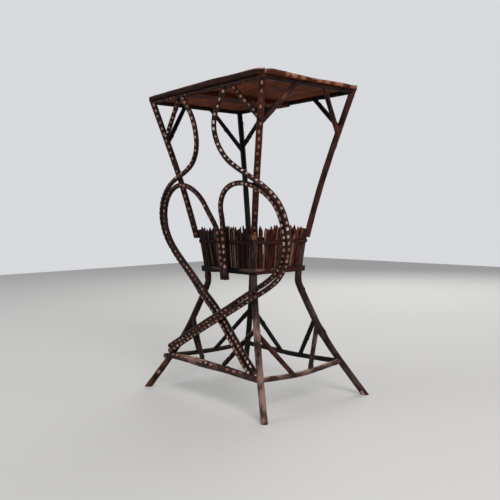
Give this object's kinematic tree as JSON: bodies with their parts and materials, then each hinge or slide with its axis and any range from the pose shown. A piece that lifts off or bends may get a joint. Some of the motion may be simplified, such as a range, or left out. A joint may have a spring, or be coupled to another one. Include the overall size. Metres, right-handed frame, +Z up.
{
  "type": "twig table",
  "caption": "Tall rustic stand of bark twigs: board top on leaning posts, picket basket half way down, splayed legs and bent stems that draw a heart on the front.",
  "frame": {"origin": "on the floor under the middle of the table", "axes": "+Z up; +X along the long side of the top, to the right as one faces the front; the front with the bent heart faces -Y"},
  "size_m": [0.4826, 0.3537, 0.75],
  "materials": {
    "tabletop_board": "stained board, worn",
    "batten_wood": "dark stained board",
    "split_slip": "split twig, bark side out, worn pale",
    "rail_bark": "dark bark, varnished",
    "picket_wood": "split twig, bark on, varnished",
    "split_rail": "split twig, bark on, varnished",
    "basket_board": "thin stained board",
    "stretcher_bark": "grey brown bark, worn",
    "brace_bark": "dark bark, notched pale",
    "post_bark": "dark bark, notched pale",
    "leg_bark": "grey brown bark, worn",
    "heart_bark": "dark bark, notched pale"
  },
  "bodies": {
    "root": {"basket_floor": "basket_board", "basket_pickets_back": "picket_wood", "basket_pickets_front": "picket_wood", "basket_pickets_left": "picket_wood", "basket_pickets_right": "picket_wood", "basket_rim_rail_back": "split_rail", "basket_rim_rail_front": "split_rail", "basket_rim_rail_left": "split_rail", "basket_rim_rail_right": "split_rail", "basket_upper_rail_back": "split_rail", "basket_upper_rail_front": "split_rail", "basket_upper_rail_left": "split_rail", "basket_upper_rail_right": "split_rail", "edge_slip_back": "split_slip", "edge_slip_front": "split_slip", "edge_slip_left": "split_slip", "edge_slip_right": "split_slip", "heart_arch_left": "heart_bark", "heart_arch_right": "heart_bark", "heart_stem_left": "heart_bark", "heart_stem_right": "heart_bark", "leg_back_left": "leg_bark", "leg_back_right": "leg_bark", "leg_front_left": "leg_bark", "leg_front_right": "leg_bark", "lower_brace_back_side_left": "brace_bark", "lower_brace_back_side_right": "brace_bark", "lower_brace_front_side_left": "brace_bark", "lower_brace_front_side_right": "brace_bark", "lower_brace_left_side_back": "brace_bark", "lower_brace_left_side_front": "brace_bark", "lower_brace_right_side_back": "brace_bark", "lower_brace_right_side_front": "brace_bark", "post_back_left": "post_bark", "post_back_right": "post_bark", "post_front_left": "post_bark", "post_front_right": "post_bark", "stretcher_back": "stretcher_bark", "stretcher_front": "stretcher_bark", "stretcher_left": "stretcher_bark", "stretcher_right": "stretcher_bark", "top_batten": "batten_wood", "top_board_back": "tabletop_board", "top_board_front": "tabletop_board", "top_board_middle": "tabletop_board", "top_rail_back": "rail_bark", "top_rail_front": "rail_bark", "top_rail_left": "rail_bark", "top_rail_right": "rail_bark", "upper_brace_back_side_left": "brace_bark", "upper_brace_back_side_right": "brace_bark", "upper_brace_front_side_left": "brace_bark", "upper_brace_front_side_right": "brace_bark", "upper_brace_left_side_back": "brace_bark", "upper_brace_left_side_front": "brace_bark", "upper_brace_right_side_back": "brace_bark", "upper_brace_right_side_front": "brace_bark"}
  },
  "joints": []
}
